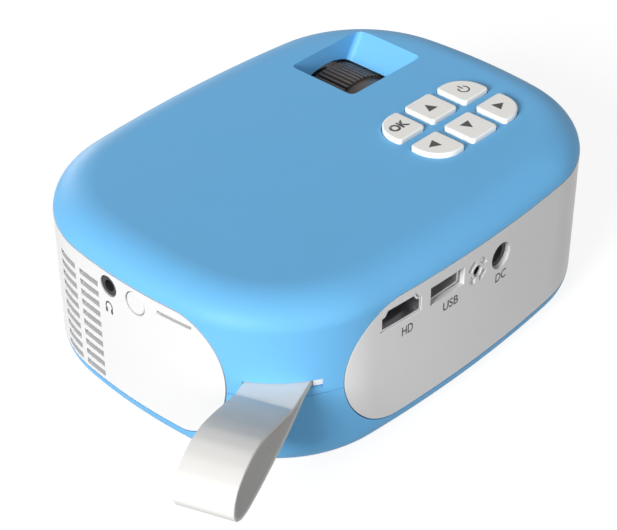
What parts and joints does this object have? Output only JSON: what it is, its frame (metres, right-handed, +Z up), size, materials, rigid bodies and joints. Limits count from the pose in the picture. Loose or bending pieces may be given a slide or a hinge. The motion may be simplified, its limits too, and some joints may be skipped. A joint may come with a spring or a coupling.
{
  "type": "media projector",
  "caption": "Palm-sized projector in a rounded case with top keys, a focus ring under a window, side sockets and a wrist strap.",
  "frame": {"origin": "mouth of the tripod thread in the middle of the underside", "axes": "+Z up, -Y out through the lens, +X out through the face with the headphone and card sockets"},
  "size_m": [0.1889, 0.1268, 0.0574],
  "materials": {
    "blue_shell": "satin moulded",
    "white_band": "satin moulded",
    "white_key": "matt moulded",
    "dark_ring": "matt moulded",
    "black_plastic": "matt moulded",
    "dark_plastic": "matt moulded",
    "socket_white": "matt moulded",
    "lens_glass": "polished, coated",
    "panel_glass": "polished",
    "board_green": "solder mask",
    "steel": "plated",
    "sink_metal": "extruded",
    "emitter": "coated",
    "flex_amber": "film",
    "coil_ferrite": "sintered",
    "can_metal": "sleeved",
    "cone_paper": "pressed",
    "lead_black": "insulated",
    "strap_grey": "coated band",
    "brass": "turned",
    "foot_rubber": "moulded"
  },
  "bodies": {
    "base": {"upper_shell": "blue_shell", "lower_shell": "blue_shell", "side_band": "white_band", "key_board": "board_green", "key_switches": "steel", "side_switch": "steel", "ring_clip": "steel", "lens_mount": "black_plastic", "lens_bezel": "white_band", "engine_case": "black_plastic", "lcd_panel": "panel_glass", "field_lens": "lens_glass", "heat_glass": "lens_glass", "condenser_lens": "lens_glass", "condenser_holder": "black_plastic", "led_board": "sink_metal", "led_emitter": "emitter", "heat_sink": "sink_metal", "fan_frame": "black_plastic", "main_board": "board_green", "main_chip": "black_plastic", "chip_sink": "sink_metal", "lcd_flex": "flex_amber", "hd_socket": "steel", "usb_socket": "socket_white", "av_socket": "dark_plastic", "dc_socket": "dark_plastic", "headphone_jack": "dark_plastic", "card_socket": "steel", "driver_board": "board_green", "power_coil": "coil_ferrite", "capacitors": "can_metal", "speaker_basket": "steel", "speaker_cone": "cone_paper", "speaker_magnet": "coil_ferrite", "speaker_lead": "lead_black", "fan_lead": "lead_black", "led_lead": "lead_black", "strap": "strap_grey", "strap_anchor": "socket_white", "board_screws": "steel", "case_screws": "steel", "tripod_insert": "brass", "foot_1": "foot_rubber", "foot_2": "foot_rubber", "foot_3": "foot_rubber", "foot_4": "foot_rubber"},
    "key_ok_body": {"key_ok": "white_key"},
    "key_up_body": {"key_up": "white_key"},
    "key_power_body": {"key_power": "white_key"},
    "key_left_body": {"key_left": "white_key"},
    "key_down_body": {"key_down": "white_key"},
    "key_right_body": {"key_right": "white_key"},
    "side_button_body": {"side_button": "white_key"},
    "focus_ring_body": {"focus_ring": "dark_ring"},
    "lens_body": {"lens_barrel": "black_plastic", "front_lens": "lens_glass", "middle_lens": "lens_glass", "rear_lens": "lens_glass"},
    "fan_body": {"fan_rotor": "black_plastic"}
  },
  "joints": [
    {"name": "key_ok_press", "type": "slide", "parent": "base", "child": "key_ok_body", "axis": [0, 0, -1], "range_m": [0, 0.0006], "stiffness_N_per_m": 1500, "springref_m": -0.0003},
    {"name": "key_up_press", "type": "slide", "parent": "base", "child": "key_up_body", "axis": [0, 0, -1], "range_m": [0, 0.0006], "stiffness_N_per_m": 1500, "springref_m": -0.0003},
    {"name": "key_power_press", "type": "slide", "parent": "base", "child": "key_power_body", "axis": [0, 0, -1], "range_m": [0, 0.0006], "stiffness_N_per_m": 1500, "springref_m": -0.0003},
    {"name": "key_left_press", "type": "slide", "parent": "base", "child": "key_left_body", "axis": [0, 0, -1], "range_m": [0, 0.0006], "stiffness_N_per_m": 1500, "springref_m": -0.0003},
    {"name": "key_down_press", "type": "slide", "parent": "base", "child": "key_down_body", "axis": [0, 0, -1], "range_m": [0, 0.0006], "stiffness_N_per_m": 1500, "springref_m": -0.0003},
    {"name": "key_right_press", "type": "slide", "parent": "base", "child": "key_right_body", "axis": [0, 0, -1], "range_m": [0, 0.0006], "stiffness_N_per_m": 1500, "springref_m": -0.0003},
    {"name": "side_button_press", "type": "slide", "parent": "base", "child": "side_button_body", "axis": [-1, 0, 0], "range_m": [0, 0.0006], "stiffness_N_per_m": 1500, "springref_m": -0.0003},
    {"name": "focus_turn", "type": "hinge", "parent": "base", "child": "focus_ring_body", "pos_m": [-0.0434, -0.0246, 0.0276], "axis": [0, 1, 0], "range_deg": [-60, 60]},
    {"name": "lens_slide", "type": "slide", "parent": "base", "child": "lens_body", "axis": [0, -1, 0], "range_m": [-0.002, 0.002]},
    {"name": "fan_spin", "type": "hinge", "parent": "base", "child": "fan_body", "pos_m": [-0.0368, 0.042, 0.0246], "axis": [0, 1, 0], "continuous": true}
  ],
  "couplings": [
    {"joint": "focus_turn", "follows": "lens_slide", "rad_per_m": 523.6}
  ]
}
